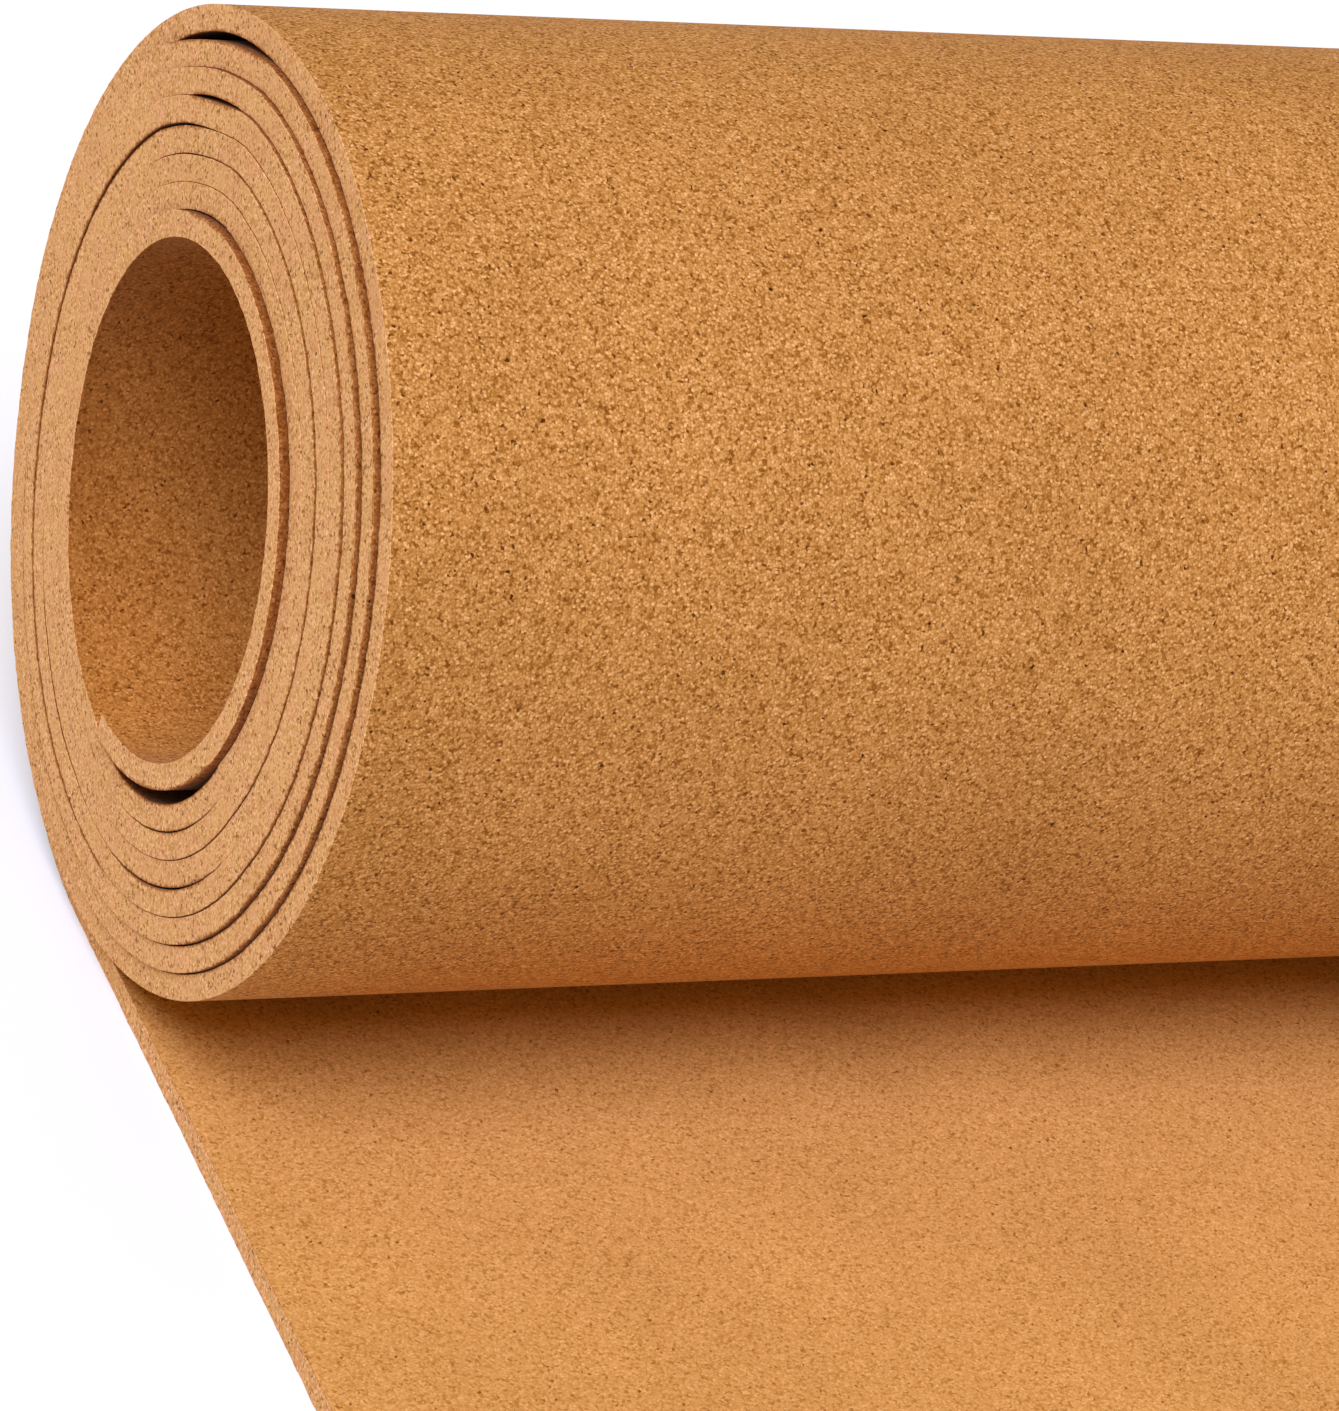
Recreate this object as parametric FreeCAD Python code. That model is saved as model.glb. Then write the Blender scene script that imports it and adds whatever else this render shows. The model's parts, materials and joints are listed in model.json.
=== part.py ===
# Cork underlayment roll lying on its side, in millimetres.
# One sheet of agglomerated cork is wound on itself, and its outer end runs out flat under the roll.
# X runs along the roll, the free end points towards -Y and Z is up from the floor.
# The origin is on the floor, under the axis of the roll, half way along the sheet's width.
import FreeCAD, Part
import math
import os

# The sheet
SHEET_THICKNESS = 6.0
SHEET_WIDTH = 1000.0
TAIL_LENGTH = 210.0

# How it is wound: each turn is round, and over its last stretch it steps out onto its own start
TURNS = 8
BORE_RADIUS = 60.0
TURN_GAP = 0.35
STEP_ANGLE = 80.0

# The loose first and last turns lie off the axis, towards the upper back
SLACK_DIRECTION = 140.0
INNER_SLACK = 2.0
OUTER_SLACK = 1.3

# At one end each turn stands out past the turn around it, the loose first turn furthest,
# and at the other end it lies as far back
END_DRIFT = 0.6
FIRST_TURN_OUT = 2.2
SEAM_DEPTH = 3.0

# Angles about the axis are counted from straight down, through the back, to the top
BOTTOM = 0.0
BOTTOM_AGAIN = 360.0


def slack(turn):
    """How far the centre of a turn lies off the axis, with the turns counted from 1 at the bore."""
    if turn == 1:
        return INNER_SLACK
    if turn == TURNS:
        return OUTER_SLACK
    return 0.0


def stand_out(turn):
    """How far a turn stands out past the last one at the near end."""
    out = END_DRIFT * (TURNS - turn)
    if turn == 1:
        return out + FIRST_TURN_OUT
    return out


def turn_radii():
    """Inner radius of each turn, and of the tail's start as one turn more."""
    radii = [BORE_RADIUS]
    for turn in range(1, TURNS):
        lean = abs(slack(turn + 1) - slack(turn))
        radii.append(radii[-1] + SHEET_THICKNESS + TURN_GAP + lean)
    lean_at_bottom = slack(TURNS) * math.cos(math.radians(SLACK_DIRECTION))
    radii.append(radii[-1] + SHEET_THICKNESS + TURN_GAP + lean_at_bottom)
    return radii


RADII = turn_radii()
AXIS_HEIGHT = RADII[-1] + SHEET_THICKNESS


def outward(angle):
    """Unit vector from the axis at an angle."""
    return FreeCAD.Vector(0, math.sin(math.radians(angle)), -math.cos(math.radians(angle)))


def along_sheet(angle):
    """Unit vector along the sheet, the way that it winds out."""
    return FreeCAD.Vector(0, -math.cos(math.radians(angle)), -math.sin(math.radians(angle)))


def turn_centre(turn):
    axis = FreeCAD.Vector(0, 0, AXIS_HEIGHT)
    if turn > TURNS:
        return axis
    return axis + outward(SLACK_DIRECTION) * slack(turn)


def on_turn(turn, depth, angle):
    """A point of a turn, at a depth in the sheet counted from its inner face."""
    return turn_centre(turn) + outward(angle) * (RADII[turn - 1] + depth)


def line(start, end):
    return Part.LineSegment(start, end).toShape()


def turn_edges(turn, depth):
    """One turn, from the bottom over the front, top and back, and down onto its own start."""
    start = on_turn(turn, depth, BOTTOM_AGAIN)
    middle = on_turn(turn, depth, (BOTTOM_AGAIN + STEP_ANGLE) / 2)
    step_start = on_turn(turn, depth, STEP_ANGLE)
    step_end = on_turn(turn + 1, depth, BOTTOM)
    mean_radius = (RADII[turn - 1] + RADII[turn]) / 2 + depth
    handle = 4 / 3 * math.tan(math.radians(STEP_ANGLE / 4)) * mean_radius
    leaving = step_start + along_sheet(STEP_ANGLE) * handle
    arriving = step_end - along_sheet(BOTTOM) * handle
    step = Part.BezierCurve()
    step.setPoles([step_start, leaving, arriving, step_end])
    return [Part.Arc(start, middle, step_start).toShape(), step.toShape()]


def face_within(edges):
    return Part.Face(Part.Wire(Part.__sortEdges__(edges)))


def drawn_out(face, start, end):
    """The solid that a section makes between two places along the roll."""
    moved = face.translated(FreeCAD.Vector(start, 0, 0))
    return moved.extrude(FreeCAD.Vector(end - start, 0, 0))


def roll_face():
    """The whole roll, out to where its last turn comes down to the floor."""
    floor_line = on_turn(TURNS + 1, SHEET_THICKNESS, BOTTOM)
    tail_top = on_turn(TURNS + 1, 0, BOTTOM)
    foot = on_turn(TURNS, SHEET_THICKNESS, BOTTOM_AGAIN)
    return face_within(turn_edges(TURNS, SHEET_THICKNESS) + [line(floor_line, tail_top), line(tail_top, foot)])


def bore_face():
    """The open bore, with the step that the sheet's cut inner end makes at its bottom."""
    start = on_turn(1, 0, BOTTOM_AGAIN)
    second_turn = on_turn(2, 0, BOTTOM)
    return face_within(turn_edges(1, 0) + [line(second_turn, start)])


def sheet_edge_face(turn):
    """The edge of the sheet over one turn."""
    start = line(on_turn(turn, 0, BOTTOM_AGAIN), on_turn(turn, SHEET_THICKNESS, BOTTOM_AGAIN))
    end = line(on_turn(turn + 1, 0, BOTTOM), on_turn(turn + 1, SHEET_THICKNESS, BOTTOM))
    return face_within(turn_edges(turn, 0) + turn_edges(turn, SHEET_THICKNESS) + [start, end])


def tail(left_end):
    """The free end of the sheet, flat on the floor."""
    corner = FreeCAD.Vector(left_end, -TAIL_LENGTH, 0)
    return Part.makeBox(SHEET_WIDTH, TAIL_LENGTH, SHEET_THICKNESS, corner)


def cork_sheet():
    """The rolled sheet as one body, with the seams between its turns open at both ends."""
    left_end = -SHEET_WIDTH / 2
    right_end = SHEET_WIDTH / 2
    seam_floor_left = left_end + SEAM_DEPTH
    seam_floor_right = right_end - stand_out(1) - SEAM_DEPTH
    core = drawn_out(roll_face(), seam_floor_left, seam_floor_right)
    core = core.cut(drawn_out(bore_face(), seam_floor_left, seam_floor_right))
    pieces = [tail(left_end)]
    for turn in range(1, TURNS + 1):
        edge = sheet_edge_face(turn)
        pieces.append(drawn_out(edge, left_end - stand_out(turn), seam_floor_left))
        pieces.append(drawn_out(edge, seam_floor_right, right_end - stand_out(turn)))
    return core.multiFuse(pieces).removeSplitter()


os.makedirs("parts", exist_ok=True)
sheet = cork_sheet()
sheet.exportStep("parts/cork_sheet.step")
print("cork_sheet: solids", len(sheet.Solids), "valid", sheet.isValid(), "litres", round(sheet.Volume / 1e6, 3))
print("axis height", round(AXIS_HEIGHT, 3), "bore centre", turn_centre(1))
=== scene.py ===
# Cork underlayment roll, dressed for the camera, in metres.
# One sheet is wound on itself and its outer end runs out flat, so the whole visible object is one swept mesh.
# X runs along the roll, the free end points towards -Y and Z is up from the floor.
from collections import namedtuple
import json
import math

import bpy
from mathutils import Matrix, Vector, noise


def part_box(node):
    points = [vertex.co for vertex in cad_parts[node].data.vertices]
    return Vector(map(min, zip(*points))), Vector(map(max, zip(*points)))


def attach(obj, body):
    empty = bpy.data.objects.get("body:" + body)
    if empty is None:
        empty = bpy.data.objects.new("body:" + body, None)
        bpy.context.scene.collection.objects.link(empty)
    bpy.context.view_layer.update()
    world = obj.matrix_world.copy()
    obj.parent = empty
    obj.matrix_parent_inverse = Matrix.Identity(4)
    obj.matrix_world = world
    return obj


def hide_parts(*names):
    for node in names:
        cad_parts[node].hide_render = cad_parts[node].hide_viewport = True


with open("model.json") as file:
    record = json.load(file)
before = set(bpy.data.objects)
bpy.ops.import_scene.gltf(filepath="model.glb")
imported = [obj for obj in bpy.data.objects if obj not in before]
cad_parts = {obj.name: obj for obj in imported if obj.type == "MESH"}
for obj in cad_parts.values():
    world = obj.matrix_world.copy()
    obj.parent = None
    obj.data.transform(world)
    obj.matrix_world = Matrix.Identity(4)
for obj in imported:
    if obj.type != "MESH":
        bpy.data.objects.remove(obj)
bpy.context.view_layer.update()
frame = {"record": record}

MM = 0.001
NODE = "cork_sheet"

# The wound sheet, as the solid has it
SHEET_THICKNESS = 6.0 * MM
TURNS = 8
TURN_GAP = 0.35 * MM
STEP_ANGLE = 80.0
SLACK_DIRECTION = 140.0
INNER_SLACK = 2.0 * MM
OUTER_SLACK = 1.3 * MM

# Sizes read from the frame
sheet_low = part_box(NODE)[0]
bore_mount = next(mount for mount in frame["record"]["mounts"] if mount["name"] == "bore")
BORE_RADIUS = bore_mount["dims"]["r_mm"] * MM
SHEET_WIDTH = bore_mount["dims"]["length_mm"] * MM
TAIL_LENGTH = -sheet_low[1]

# How far each turn stands out at the near end, from the bore outward, measured at its front,
# which is a quarter of a turn past its start; the last turn draws back on its way down to the tail
STAND_OUT = [5.6 * MM, 3.2 * MM, 3.15 * MM, 2.75 * MM, 2.7 * MM, 2.2 * MM, 1.2 * MM, 0.0, -3.4 * MM]
FRONT = 0.25

# The ends are not quite square: how far they lean along the roll, over each length backwards and upwards
LEAN_BACKWARDS = 0.015
LEAN_UPWARDS = 0.024

# Where the seams between turns are open: turn inside the seam, first angle, last angle, widest gap
# Angles are counted about the axis from straight down, through the back, to the top
OPEN_SEAMS = [
    (1, 146.0, 176.0, 0.4 * MM),
    (1, 165.0, 310.0, 0.2 * MM),
    (1, 296.0, 366.0, 3.4 * MM),
    (2, 298.0, 345.0, 0.35 * MM),
    (3, 120.0, 165.0, 0.2 * MM),
    (3, 155.0, 348.0, 0.3 * MM),
    (4, 0.0, 158.0, 1.8 * MM),
    (4, 300.0, 350.0, 0.5 * MM),
    (5, 146.0, 165.0, 1.0 * MM),
    (5, 160.0, 345.0, 0.35 * MM),
    (5, 345.0, 430.0, 1.1 * MM),
    (6, 95.0, 138.0, 0.2 * MM),
    (6, 180.0, 348.0, 0.55 * MM),
    (7, 136.0, 169.0, 2.0 * MM),
    (7, 160.0, 355.0, 0.45 * MM),
]
SHUT_GAP = 0.02 * MM
SEAM_FULLNESS = 0.8

# Painted shade down inside the seams, by how far in from the end, on a turn's outer and inner face
OUTER_WALL_SHADE = [(0.0, 0.35), (1.0 * MM, 0.75), (3.0 * MM, 1.0)]
INNER_WALL_SHADE = [(0.0, 0.75), (1.0 * MM, 0.8), (3.0 * MM, 0.9)]
SEAM_SHADE_SHARES = (0.36, 0.23, 0.10)

# Corners beside an open seam, darkened partly as wear and partly as painted shade: strength, the gap at which
# it is full, and their spots
CORNER_WEAR_AND_SHADE = 0.40
CORNER_WEAR_AND_SHADE_GAP = 0.4 * MM
CORNER_WEAR_AND_SHADE_SPOT = 1.2 * MM
CORNER_WEAR_AND_SHADE_SPOT_WEIGHT = 0.5
CORNER_WEAR_AND_SHADE_RANGE = (0.50, 0.66)
CORNER_WEAR_AND_SHADE_SHARES = (0.50, 0.32, 0.14)

# Painted shade inside the bore, on its back wall near the mouth
MOUTH_DEPTH = 60.0 * MM
MOUTH_SHADE_SHARES = (0.56, 0.48, 0.40)

# The mesh of the sheet
PATH_STEP = 1.5 * MM
EDGE_BEVEL = 0.15 * MM
EDGE_ROWS = 5
FACE_ROW_INSETS = [20.0 * MM, 4.0 * MM, 1.2 * MM]
CRUMBLE = 0.18 * MM
CRUMBLE_SIZE = 2.5 * MM
CRUMBLE_SEED = 1
SHARP_ANGLE = 35.0

# Cork: granule size, how its outline wanders, and the finer noise over it
GRANULE = 0.66 * MM
GRANULE_WANDER = 0.7 * GRANULE
WANDER_SCALE = 0.8 / GRANULE
FINE_SCALE = 1.6 / GRANULE

# The browns of its granules, as shares of the mean colour by how many granules are darker
GRAIN_COLOURS = [
    (0.0, (0.30, 0.20, 0.06)),
    (0.08, (0.52, 0.40, 0.18)),
    (0.25, (0.85, 0.80, 0.70)),
    (0.60, (1.02, 1.03, 1.05)),
    (0.85, (1.20, 1.31, 1.62)),
    (1.0, (1.55, 1.90, 3.10)),
]
WHITE = (1.0, 1.0, 1.0)

# Darker lines where granules meet, by the distance from a granule's middle in granule sizes
MEETING_RANGE = (0.35, 0.75)
MEETING_SHARES = (0.60, 0.48, 0.25)

# Dark pits: their share of the granules, how far they blend, and the patches with fewer and more of them
PIT_SHARE = 0.012
PIT_BLEND = 1.5
PIT_SHARES = (0.14, 0.08, 0.04)
PIT_PATCH = 14.0 * MM
PATCH_RANGE = (0.35, 0.7)
FACE_PITS = (0.25, 0.7)
CUT_PITS = (0.3, 6.0)

# Fine noise, and mottling in clouds: size, lowest and highest level
FINE_RANGE = (0.30, 0.70)
FINE_SHARES = (0.72, 0.64, 0.45)
MOTTLE_RANGE = (0.3, 0.7)
FACE_MOTTLE = (60.0 * MM, (0.90, 0.88, 0.84), WHITE)
CUT_MOTTLE = (7.0 * MM, (0.98, 0.93, 0.97), (1.0, 1.02, 0.93))

# The surface, and the mean colours of the sheet's faces
GRAIN_RELIEF = 0.15 * MM
ROUGHNESS = 0.9
SPECULAR = 0.08
SHEEN = 0.05
OUTER_TINT = (0.75, 0.364, 0.113)
# The bore face is the same inner face of the sheet as the tail, tinted darker as painted shade
BORE_SHADED_TINT = (0.76, 0.318, 0.071)
TAIL_TINT = (0.825, 0.413, 0.126)
# The seam faces are the same cork as the outer face and the tail, tinted darker as painted shade
SEAM_SHADED_TINT = (0.66, 0.29, 0.085)
CUT_TINT = (0.96, 0.530, 0.240)

# The camera, at the photograph's viewing angle
IMAGE_WIDTH = 1339
IMAGE_HEIGHT = 1411
FOCAL_PIXELS = 6175.6
SENSOR = 36.0
CAMERA_PLACE = (-1.04389, -1.06704, 0.87667)
CAMERA_AZIMUTH = 32.723
CAMERA_ELEVATION = 32.77
CAMERA_ROLL = 18.218

# The studio
FLOOR_SIZE = 40.0
FLOOR_COLOUR = (0.70, 0.67, 0.60)
FLOOR_LIFT = (0.30, 0.33, 0.40)
WORLD_LEVEL = 0.45
WORLD_COLOUR = (1.0, 0.80, 0.28)
KEY_LEVEL = 2.25
KEY_COLOUR = (1.0, 1.12, 1.64)
KEY_ANGLE = 33.0
KEY_DIRECTION = (-0.36, -0.41, 0.84)


def slack(turn):
    """How far the centre of a turn lies off the axis, with the turns counted from 1 at the bore."""
    if turn == 1:
        return INNER_SLACK
    if turn == TURNS:
        return OUTER_SLACK
    return 0.0


def turn_radii():
    """Inner radius of each turn, and of the tail's start as one turn more."""
    radii = [BORE_RADIUS]
    for turn in range(1, TURNS):
        lean = abs(slack(turn + 1) - slack(turn))
        radii.append(radii[-1] + SHEET_THICKNESS + TURN_GAP + lean)
    lean_at_bottom = slack(TURNS) * math.cos(math.radians(SLACK_DIRECTION))
    radii.append(radii[-1] + SHEET_THICKNESS + TURN_GAP + lean_at_bottom)
    return radii


RADII = turn_radii()
AXIS_HEIGHT = RADII[-1] + SHEET_THICKNESS


def smooth(value):
    """Eases from 0 to 1 with level ends."""
    value = min(max(value, 0.0), 1.0)
    return value * value * (3.0 - 2.0 * value)


def ring_radius(turn, angle):
    """Inner radius of a turn about the axis, before it steps out."""
    return RADII[turn - 1] + slack(turn) * math.cos(math.radians(angle - SLACK_DIRECTION))


def seam_gap(seam, angle):
    """Open width of the seam round a turn, at an angle from 0 to 360."""
    gap = SHUT_GAP
    for place, first, last, widest in OPEN_SEAMS:
        for turned in (angle, angle + 360.0):
            if place == seam and first < turned < last:
                share = (turned - first) / (last - first)
                gap = max(gap, widest * math.sin(math.pi * share) ** SEAM_FULLNESS)
    return gap


def seams_at(angle):
    """Inner radius of every turn and the sheet's thickness at an angle, with the seams open."""
    inside = ring_radius(1, angle)
    outside = ring_radius(TURNS, angle) + SHEET_THICKNESS
    gaps = [seam_gap(seam, angle) for seam in range(1, TURNS)]
    thickness = (outside - inside - sum(gaps)) / TURNS
    radii = [inside]
    for gap in gaps:
        radii.append(radii[-1] + thickness + gap)
    return radii, thickness


def sheet_at(turn, angle):
    """Inner radius and thickness of the sheet on a turn, with the step out onto its own start."""
    radii, thickness = seams_at(angle)
    if angle >= STEP_ANGLE:
        return radii[turn - 1], thickness
    share = smooth(1.0 - angle / STEP_ANGLE)
    if turn < TURNS:
        return radii[turn - 1] + (radii[turn] - radii[turn - 1]) * share, thickness
    radius = radii[-1] + (RADII[-1] - radii[-1]) * share
    return radius, thickness + (SHEET_THICKNESS - thickness) * share


def stand_out(turns_wound):
    """How far the sheet's near end stands out past the last turn's, by how many turns are wound."""
    place = turns_wound - FRONT
    last = len(STAND_OUT) - 1
    turn = min(max(int(math.floor(place)), 0), last - 1)
    share = smooth(place - turn)
    return STAND_OUT[turn] + (STAND_OUT[turn + 1] - STAND_OUT[turn]) * share


def worn_and_shaded(seam, angle):
    """How worn and shaded the corners beside a seam are: wear and painted shade where the seam stands open.
    """
    if seam == 0 or seam == TURNS:
        return 0.0
    return CORNER_WEAR_AND_SHADE * smooth((seam_gap(seam, angle) - SHUT_GAP) / CORNER_WEAR_AND_SHADE_GAP)


def shift(turns_wound, point):
    """How far the sheet lies from its middle place along the roll, as it stands out and its ends lean."""
    lean = LEAN_BACKWARDS * point.y + LEAN_UPWARDS * (point.z - AXIS_HEIGHT)
    return lean - stand_out(turns_wound)


Station = namedtuple("Station", "turns_wound inner outward thickness shift wear")


def station(turns_wound):
    """One place along the wound sheet, with the wear and painted shade of its inner and outer corner."""
    turn = min(int(turns_wound) + 1, TURNS)
    angle = 360.0 * (turn - turns_wound)
    radius, thickness = sheet_at(turn, angle)
    outward = Vector((0.0, math.sin(math.radians(angle)), -math.cos(math.radians(angle))))
    inner = Vector((0.0, 0.0, AXIS_HEIGHT)) + outward * radius
    wear = (worn_and_shaded(turn - 1, angle), worn_and_shaded(turn, angle))
    return Station(turns_wound, inner, outward, thickness, shift(turns_wound, inner), wear)


def stations():
    """Every place along the sheet, from its inner end to the front edge of the tail."""
    places = []
    for turn in range(1, TURNS + 1):
        steps = round(2.0 * math.pi * (RADII[turn - 1] + SHEET_THICKNESS) / PATH_STEP)
        places += [station(turn - 1 + step / steps) for step in range(steps)]
    steps = round(TAIL_LENGTH / PATH_STEP)
    down = Vector((0.0, 0.0, -1.0))
    tail_shift = shift(TURNS, Vector((0.0, 0.0, SHEET_THICKNESS)))
    for step in range(steps + 1):
        inner = Vector((0.0, -TAIL_LENGTH * step / steps, SHEET_THICKNESS))
        places.append(Station(TURNS, inner, down, SHEET_THICKNESS, tail_shift, (0.0, 0.0)))
    return places


# Parts of the sheet that a row of the section lies on
FACE, CORNER, CUT = range(3)

# A row's share of the thickness, its inset from the end and the part that it lies on
Row = namedtuple("Row", "share inset part")


def end_rows():
    """Rows over one end of the sheet, from its inner face to its outer face."""
    bevel_share = EDGE_BEVEL / SHEET_THICKNESS
    insets = FACE_ROW_INSETS + [EDGE_BEVEL]
    rows = [Row(0.0, inset, FACE) for inset in insets]
    for number in range(EDGE_ROWS):
        share = bevel_share + (1.0 - 2.0 * bevel_share) * number / (EDGE_ROWS - 1)
        rows.append(Row(share, 0.0, CORNER if number in (0, EDGE_ROWS - 1) else CUT))
    rows += [Row(1.0, inset, FACE) for inset in reversed(insets)]
    return rows


# Rows right round the sheet: over the near end, and back over the far end
SECTION_ROWS = end_rows() + list(reversed(end_rows()))
SECTION_SIDES = [-1.0] * len(end_rows()) + [1.0] * len(end_rows())


def crumble(point, inset):
    """Small unevenness of the cut edge, which dies away over the face."""
    fade = smooth(1.0 - inset / FACE_ROW_INSETS[1])
    return CRUMBLE * fade * noise.noise_vector(point / CRUMBLE_SIZE)


def section(place):
    """The points round the sheet at one station."""
    points = []
    for side, row in zip(SECTION_SIDES, SECTION_ROWS):
        point = place.inner + place.outward * (place.thickness * row.share)
        point.x = side * SHEET_WIDTH / 2 + place.shift - side * row.inset
        jitter = crumble(point, row.inset)
        if row.part != CUT:
            jitter = Vector((jitter.x, 0.0, 0.0))
        points.append(point + jitter)
    return points


def wall_shade(share, inset):
    """Painted shade on a wall of a seam, by how far in from the end it is."""
    profile = OUTER_WALL_SHADE if share > 0.5 else INNER_WALL_SHADE
    for (near, light), (far, dark) in zip(profile, profile[1:]):
        if inset < far:
            return light + (dark - light) * (inset - near) / (far - near)
    return profile[-1][1]


def shades(place):
    """Shade at each point of a section: wear and painted shade at the cut's corners, and painted shade by
    depth on the faces.
    """
    levels = []
    for row in SECTION_ROWS:
        if row.part == FACE:
            levels.append(wall_shade(row.share, row.inset))
        elif row.part == CORNER:
            levels.append(place.wear[round(row.share)])
        else:
            levels.append(0.0)
    return levels


def add_piece(name, points, faces):
    """A mesh object from its points and faces."""
    mesh = bpy.data.meshes.new(name)
    mesh.from_pydata(points, [], faces)
    piece = bpy.data.objects.new(name, mesh)
    bpy.context.collection.objects.link(piece)
    return piece


# Material slots of the roll
OUTER_FACE, BORE_FACE, TAIL_FACE, SEAM_FACE, CUT_EDGE = range(5)


def face_slots(turns_wound):
    """Material slots of the sheet's inner and outer face, by how many turns are wound."""
    if turns_wound < 1:
        return BORE_FACE, SEAM_FACE
    if turns_wound < TURNS - 1:
        return SEAM_FACE, SEAM_FACE
    if turns_wound < TURNS:
        return SEAM_FACE, OUTER_FACE
    return TAIL_FACE, OUTER_FACE


def strip_slots(inner_slot, outer_slot):
    """Material slot of each strip round the sheet."""
    slots = []
    for row, after in zip(SECTION_ROWS, SECTION_ROWS[1:] + SECTION_ROWS[:1]):
        if row.part != FACE or after.part != FACE:
            slots.append(CUT_EDGE)
        else:
            slots.append(outer_slot if row.share > 0.5 else inner_slot)
    return slots


def cork_roll():
    """The whole sheet as one closed mesh, with its faces and its cut edges in separate material slots."""
    places = stations()
    rings = [section(place) for place in places]
    count = len(rings[0])
    points = [point for ring in rings for point in ring]
    faces = []
    slots = []
    for ring in range(len(rings) - 1):
        slots += strip_slots(*face_slots(places[ring].turns_wound))
        for row in range(count):
            after = (row + 1) % count
            low = ring * count
            high = low + count
            faces.append((low + row, low + after, high + after, high + row))
    # The sheet's cut inner end and its front edge
    last = (len(rings) - 1) * count
    faces.append(tuple(reversed(range(count))))
    faces.append(tuple(range(last, last + count)))
    slots += [CUT_EDGE, CUT_EDGE]
    piece = add_piece("cork_roll", points, faces)
    piece.data.polygons.foreach_set("material_index", slots)
    piece.data.polygons.foreach_set("use_smooth", [True] * len(faces))
    piece.data.set_sharp_from_angle(angle=math.radians(SHARP_ANGLE))
    shade = piece.data.attributes.new("shade", "FLOAT", "POINT")
    shade.data.foreach_set("value", [level for place in places for level in shades(place)])
    return piece


def feed(socket, value):
    """Gives an input its value, or links it to the output that is its value."""
    if isinstance(value, bpy.types.NodeSocket):
        socket.id_data.links.new(value, socket)
    else:
        socket.default_value = value


def node_adder(tree):
    """A short way to add a node with its settings and its inputs by name."""
    def add(kind, settings=None, **inputs):
        node = tree.nodes.new(kind)
        for name, value in (settings or {}).items():
            setattr(node, name, value)
        for name, value in inputs.items():
            feed(node.inputs[name.replace("_", " ")], value)
        return node
    return add


def combined(add, kind, operation, *values):
    """The result of a maths node, with its inputs in order."""
    node = add(kind, {"operation": operation})
    for socket, value in zip(node.inputs, values):
        feed(socket, value)
    return node.outputs[0]


def mapped(add, value, old_range, new_range):
    """A value moved from one range to another."""
    node = add("ShaderNodeMapRange", Value=value)
    for name, level in zip(("From Min", "From Max", "To Min", "To Max"), (*old_range, *new_range)):
        feed(node.inputs[name], level)
    return node.outputs["Result"]


def ramp(add, factor, stops):
    """A colour ramp over stops of place and colour."""
    node = add("ShaderNodeValToRGB", Fac=factor)
    elements = node.color_ramp.elements
    while len(elements) < len(stops):
        elements.new(0.5)
    for element, (place, colour) in zip(elements, stops):
        element.position = place
        element.color = (*colour, 1.0)
    return node.outputs["Color"]


def ramp_between(add, factor, places, first, last):
    """A colour that runs from a first to a last between two places."""
    return ramp(add, factor, list(zip(places, (first, last))))


# Sockets of the Mix node that carry colours, whose names other sockets share
FIRST_COLOUR = 6
SECOND_COLOUR = 7
MIXED_COLOUR = 2


def product(add, first, second):
    """Two colours multiplied."""
    node = add("ShaderNodeMix", {"data_type": "RGBA", "blend_type": "MULTIPLY"}, Factor=1.0)
    feed(node.inputs[FIRST_COLOUR], first)
    feed(node.inputs[SECOND_COLOUR], second)
    return node.outputs[MIXED_COLOUR]


def shaded(tint, shares, contrast):
    """A tint with its channels multiplied by shares, which a contrast under 1 weakens."""
    return tuple(level * share ** contrast for level, share in zip(tint, shares))


def shade_level(add, _):
    """The painted shade down inside the seams, as the mesh states it at each point."""
    shade = add("ShaderNodeAttribute", {"attribute_name": "shade"}).outputs["Fac"]
    return ramp_between(add, shade, (0.0, 1.0), WHITE, SEAM_SHADE_SHARES)


def worn_and_shaded_level(add, place):
    """The corners beside the open seams, darkened in spots, partly as wear and partly as painted shade."""
    shade = add("ShaderNodeAttribute", {"attribute_name": "shade"}).outputs["Fac"]
    spots = add("ShaderNodeTexNoise", Vector=place, Scale=1.0 / CORNER_WEAR_AND_SHADE_SPOT, Detail=1.0).outputs["Fac"]
    spotted = combined(add, "ShaderNodeMath", "MULTIPLY_ADD", spots, CORNER_WEAR_AND_SHADE_SPOT_WEIGHT, shade)
    return ramp_between(add, spotted, CORNER_WEAR_AND_SHADE_RANGE, WHITE, CORNER_WEAR_AND_SHADE_SHARES)


def mouth_shade_level(add, place):
    """The painted shade on the back wall of the bore, near its mouth."""
    along = add("ShaderNodeSeparateXYZ", Vector=place)
    mouth = sheet_low[0]
    near = mapped(add, along.outputs["X"], (mouth, mouth + MOUTH_DEPTH), (1.0, 0.0))
    back = mapped(add, along.outputs["Y"], (0.0, BORE_RADIUS), (0.0, 1.0))
    both = combined(add, "ShaderNodeMath", "MULTIPLY", near, back)
    return ramp_between(add, both, (0.0, 1.0), WHITE, MOUTH_SHADE_SHARES)


def pit_level(add, place, draw, contrast, pit_range):
    """A few dark granules, more of them in some patches."""
    patches = add("ShaderNodeTexNoise", Vector=place, Scale=1.0 / PIT_PATCH, Detail=1.0).outputs["Fac"]
    density = mapped(add, patches, PATCH_RANGE, pit_range)
    rarity = combined(add, "ShaderNodeMath", "DIVIDE", draw, density)
    places = (PIT_SHARE, PIT_BLEND * PIT_SHARE)
    return ramp_between(add, rarity, places, shaded(WHITE, PIT_SHARES, contrast), WHITE)


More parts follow.
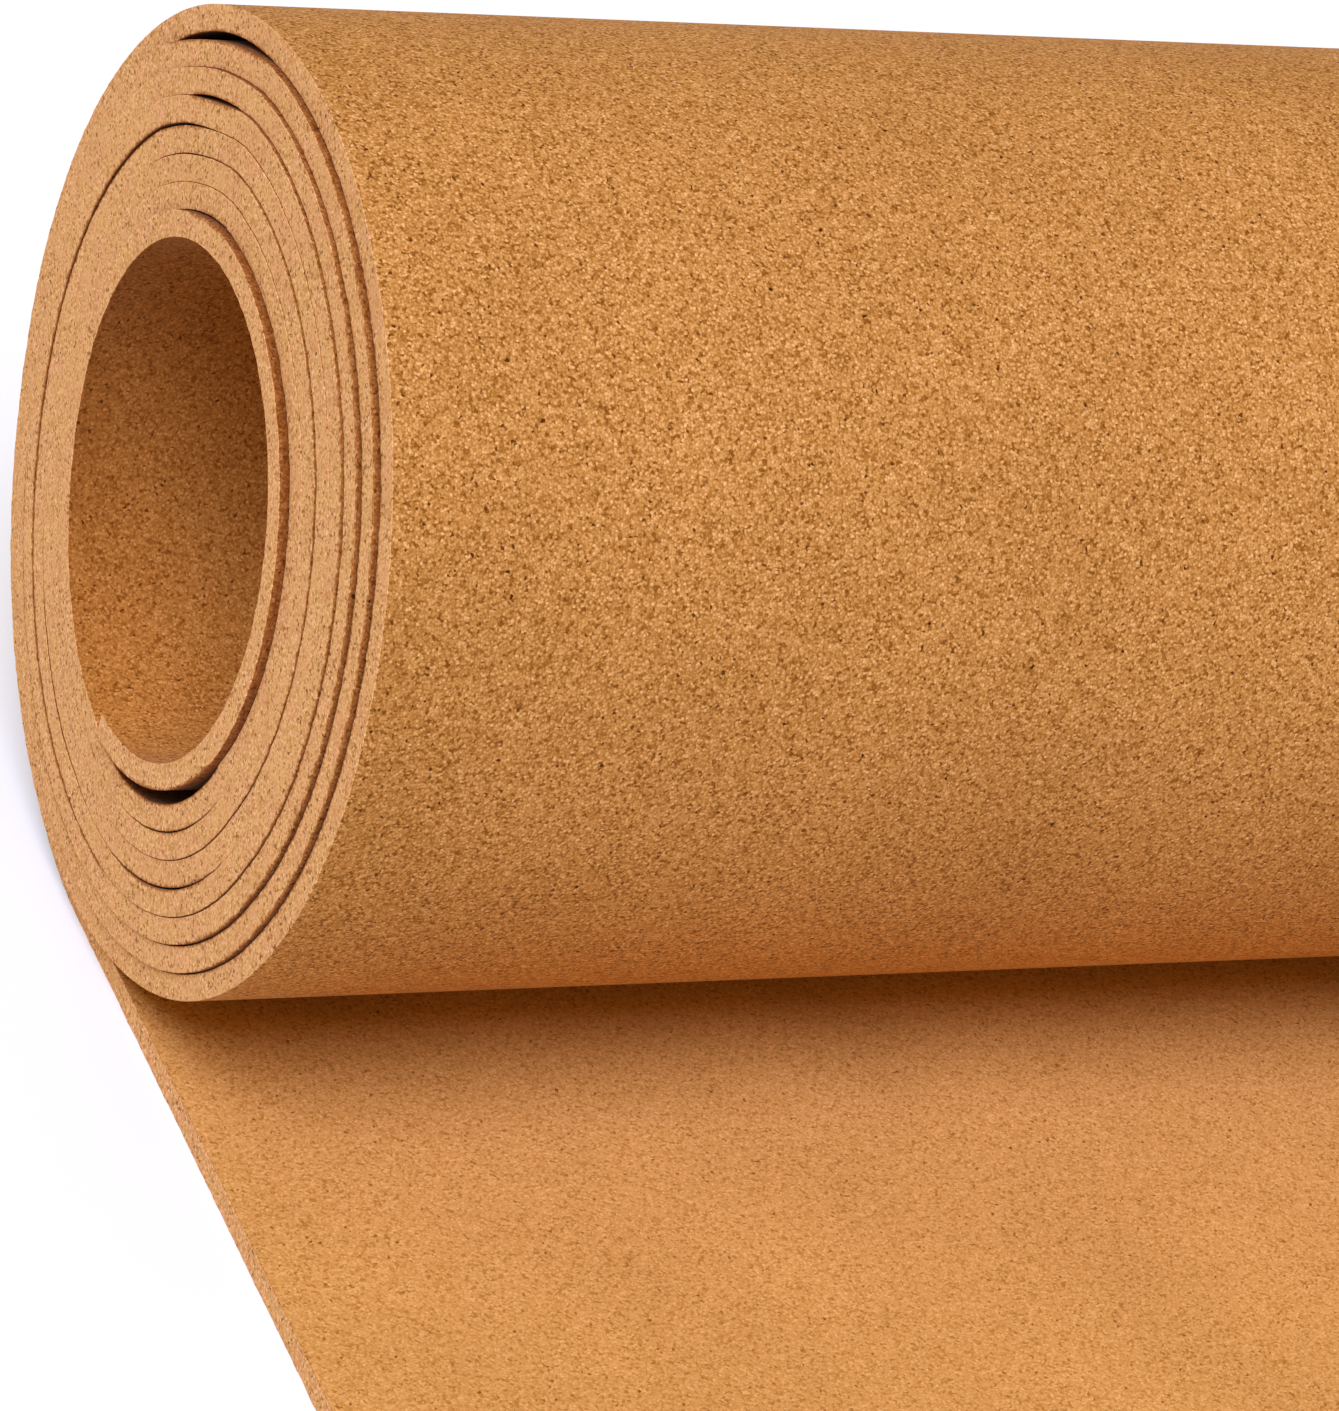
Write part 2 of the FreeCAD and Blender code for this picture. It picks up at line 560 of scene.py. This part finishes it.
def mottle_level(add, place, mottle):
    """Clouds of a little more and less colour."""
    size, low, high = mottle
    clouds = add("ShaderNodeTexNoise", Vector=place, Scale=1.0 / size, Detail=3.0).outputs["Fac"]
    return ramp_between(add, clouds, MOTTLE_RANGE, low, high)


Look = namedtuple("Look", "name tint contrast relief mottle pit_range extra_level")


def cork_material(look):
    """Agglomerated cork: small granules of mixed browns, darker where they meet, with a few dark pits."""
    material = bpy.data.materials.new(look.name)
    material.use_nodes = True
    tree = material.node_tree
    add = node_adder(tree)
    place = add("ShaderNodeTexCoord").outputs["Object"]

    wander = add("ShaderNodeTexNoise", Vector=place, Scale=WANDER_SCALE, Detail=0.0).outputs["Color"]
    wandered = combined(add, "ShaderNodeVectorMath", "MULTIPLY_ADD", wander, (GRANULE_WANDER,) * 3, place)
    grains = add("ShaderNodeTexVoronoi", Vector=wandered, Scale=1.0 / GRANULE)
    draws = add("ShaderNodeSeparateColor", Color=grains.outputs["Color"])
    grain_colour = ramp(add, draws.outputs["Red"], [
        (darker, shaded(look.tint, shares, look.contrast)) for darker, shares in GRAIN_COLOURS
    ])
    meeting_shares = shaded(WHITE, MEETING_SHARES, look.contrast)
    meeting = ramp_between(add, grains.outputs["Distance"], MEETING_RANGE, WHITE, meeting_shares)
    fine = add("ShaderNodeTexNoise", Vector=place, Scale=FINE_SCALE, Detail=1.0).outputs["Fac"]

    levels = [
        meeting,
        pit_level(add, place, draws.outputs["Green"], look.contrast, look.pit_range),
        ramp_between(add, fine, FINE_RANGE, shaded(WHITE, FINE_SHARES, look.contrast), WHITE),
        mottle_level(add, place, look.mottle),
    ]
    if look.extra_level:
        levels.append(look.extra_level(add, place))
    colour = grain_colour
    for level in levels:
        colour = product(add, colour, level)

    height = product(add, meeting, grain_colour)
    bump = add("ShaderNodeBump", Strength=look.relief, Distance=GRAIN_RELIEF, Height=height)
    shader = tree.nodes["Principled BSDF"]
    feed(shader.inputs["Base Color"], colour)
    feed(shader.inputs["Normal"], bump.outputs["Normal"])
    feed(shader.inputs["Roughness"], ROUGHNESS)
    feed(shader.inputs["Specular IOR Level"], SPECULAR)
    feed(shader.inputs["Sheen Weight"], SHEEN)
    return material


def cork_looks():
    """The looks of the sheet's faces, in the order of the material slots; the bore's and the seams' looks are
    darkened with painted shade.
    """
    face = {"mottle": FACE_MOTTLE, "pit_range": FACE_PITS}
    cut = {"mottle": CUT_MOTTLE, "pit_range": CUT_PITS}
    return [
        Look("cork_outer_face", OUTER_TINT, contrast=0.72, relief=0.5, extra_level=None, **face),
        Look("cork_bore_face", BORE_SHADED_TINT, contrast=0.58, relief=0.45, extra_level=mouth_shade_level, **face),
        Look("cork_tail_face", TAIL_TINT, contrast=0.36, relief=0.35, extra_level=None, **face),
        Look("cork_seam_face", SEAM_SHADED_TINT, contrast=0.66, relief=0.5, extra_level=shade_level, **face),
        Look("cork_cut_edge", CUT_TINT, contrast=0.38, relief=0.35, extra_level=worn_and_shaded_level, **cut),
    ]


def floor_material():
    """Pale floor that looks white to the camera and still takes the object's shadow."""
    material = bpy.data.materials.new("floor")
    material.use_nodes = True
    tree = material.node_tree
    add = node_adder(tree)
    shader = tree.nodes["Principled BSDF"]
    feed(shader.inputs["Base Color"], (*FLOOR_COLOUR, 1.0))
    feed(shader.inputs["Roughness"], ROUGHNESS)
    feed(shader.inputs["Specular IOR Level"], 0.0)
    rays = add("ShaderNodeLightPath")
    seen = rays.outputs["Is Camera Ray"]
    for kind in ("Is Glossy Ray", "Is Transmission Ray"):
        seen = combined(add, "ShaderNodeMath", "MAXIMUM", seen, rays.outputs[kind])
    feed(shader.inputs["Emission Color"], (*FLOOR_LIFT, 1.0))
    feed(shader.inputs["Emission Strength"], seen)
    return material


def floor():
    """A wide level floor."""
    half = FLOOR_SIZE / 2
    corners = [(-half, -half, 0.0), (half, -half, 0.0), (half, half, 0.0), (-half, half, 0.0)]
    piece = add_piece("floor", corners, [(0, 1, 2, 3)])
    piece.data.materials.append(floor_material())
    return piece


def world_light():
    """Even, warm light from all round, which looks white to the camera."""
    world = bpy.data.worlds.new("studio")
    bpy.context.scene.world = world
    world.use_nodes = True
    tree = world.node_tree
    add = node_adder(tree)
    seen = add("ShaderNodeLightPath").outputs["Is Camera Ray"]
    fill = tree.nodes["Background"]
    feed(fill.inputs["Color"], (*WORLD_COLOUR, 1.0))
    feed(fill.inputs["Strength"], WORLD_LEVEL)
    backdrop = add("ShaderNodeBackground", Color=(1.0, 1.0, 1.0, 1.0), Strength=1.0)
    either = add("ShaderNodeMixShader", Fac=seen)
    feed(either.inputs[1], fill.outputs["Background"])
    feed(either.inputs[2], backdrop.outputs["Background"])
    feed(tree.nodes["World Output"].inputs["Surface"], either.outputs["Shader"])


def key_light():
    """A wide soft lamp from the front, above and the near end."""
    lamp = bpy.data.lights.new("key", "SUN")
    lamp.energy = KEY_LEVEL
    lamp.color = KEY_COLOUR
    lamp.angle = math.radians(KEY_ANGLE)
    key = bpy.data.objects.new("key", lamp)
    bpy.context.collection.objects.link(key)
    key.rotation_euler = Vector(KEY_DIRECTION).to_track_quat("Z", "Y").to_euler()


def camera():
    """The photograph's camera: its place, the way it looks, its roll and its lens."""
    azimuth = math.radians(CAMERA_AZIMUTH)
    elevation = math.radians(CAMERA_ELEVATION)
    tilt = math.radians(CAMERA_ROLL)
    look = Vector((
        math.sin(azimuth) * math.cos(elevation),
        math.cos(azimuth) * math.cos(elevation),
        -math.sin(elevation),
    ))
    right = Vector((math.cos(azimuth), -math.sin(azimuth), 0.0))
    up = right.cross(look)
    rolled_right = math.cos(tilt) * right + math.sin(tilt) * up
    rolled_up = math.cos(tilt) * up - math.sin(tilt) * right
    turned = Matrix((rolled_right, rolled_up, -look)).transposed()
    lens = bpy.data.cameras.new("camera")
    lens.sensor_width = SENSOR
    lens.lens = SENSOR * FOCAL_PIXELS / max(IMAGE_WIDTH, IMAGE_HEIGHT)
    viewer = bpy.data.objects.new("camera", lens)
    bpy.context.collection.objects.link(viewer)
    viewer.matrix_world = Matrix.Translation(CAMERA_PLACE) @ turned.to_4x4()
    bpy.context.scene.camera = viewer


noise.seed_set(CRUMBLE_SEED)
roll = cork_roll()
for look in cork_looks():
    roll.data.materials.append(cork_material(look))
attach(roll, "root")
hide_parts(NODE)

floor()
world_light()
key_light()
camera()
bpy.context.scene.view_settings.view_transform = "Standard"
